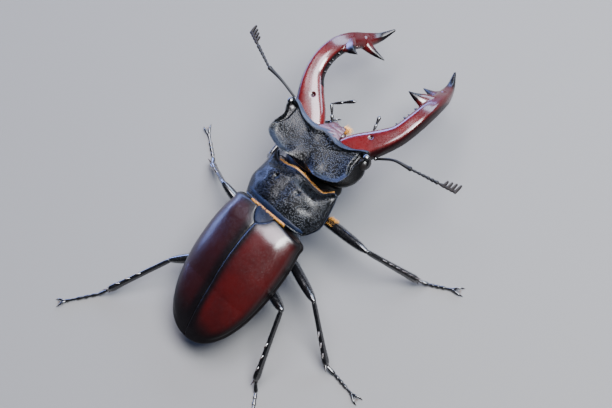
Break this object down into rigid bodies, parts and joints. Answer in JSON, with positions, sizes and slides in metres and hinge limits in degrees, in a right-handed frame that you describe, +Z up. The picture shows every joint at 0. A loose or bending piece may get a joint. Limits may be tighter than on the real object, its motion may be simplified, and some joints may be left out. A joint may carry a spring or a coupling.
{
  "type": "stag beetle",
  "caption": "Large male stag beetle at life size, standing, with branched jaws, shield-shaped head, ridged back plate, domed wing cases, jointed legs and comb-tipped feelers.",
  "frame": {"origin": "on the floor, at the centre of the beetle's bounding box", "axes": "+Z up; the beetle faces -Y, with its right side towards -X; its length runs along Y"},
  "size_m": [0.066, 0.086, 0.0195],
  "materials": {
    "shield": "satin black horn, finely granulate",
    "wing_case": "dark chestnut horn, black at the edges, soft gloss",
    "jaw": "polished deep red horn, black at the points",
    "underside": "black horn",
    "limb": "polished black horn",
    "club": "dull black, finely downy",
    "eye": "glossy black, finely faceted"
  },
  "bodies": {
    "root": {"head": "shield", "labrum": "jaw", "mentum": "underside", "eye_right": "eye", "eye_left": "eye", "mandible_right": "jaw", "mandible_left": "jaw", "antenna_scape_right": "limb", "antenna_funicle_right": "limb", "antenna_club_right": "club", "antenna_scape_left": "limb", "antenna_funicle_left": "limb", "antenna_club_left": "club", "palp_right": "limb", "palp_left": "limb", "pronotum": "shield", "prosternum": "underside", "scutellum": "shield", "elytron_right": "wing_case", "elytron_left": "wing_case", "thorax_hind": "underside", "abdomen": "underside", "leg_front_right_coxa": "limb", "leg_front_right_femur": "limb", "leg_front_right_tibia": "limb", "leg_front_right_tarsus": "limb", "leg_front_left_coxa": "limb", "leg_front_left_femur": "limb", "leg_front_left_tibia": "limb", "leg_front_left_tarsus": "limb", "leg_mid_right_coxa": "limb", "leg_mid_right_femur": "limb", "leg_mid_right_tibia": "limb", "leg_mid_right_tarsus": "limb", "leg_mid_left_coxa": "limb", "leg_mid_left_femur": "limb", "leg_mid_left_tibia": "limb", "leg_mid_left_tarsus": "limb", "leg_hind_right_coxa": "limb", "leg_hind_right_femur": "limb", "leg_hind_right_tibia": "limb", "leg_hind_right_tarsus": "limb", "leg_hind_left_coxa": "limb", "leg_hind_left_femur": "limb", "leg_hind_left_tibia": "limb", "leg_hind_left_tarsus": "limb"}
  },
  "joints": []
}
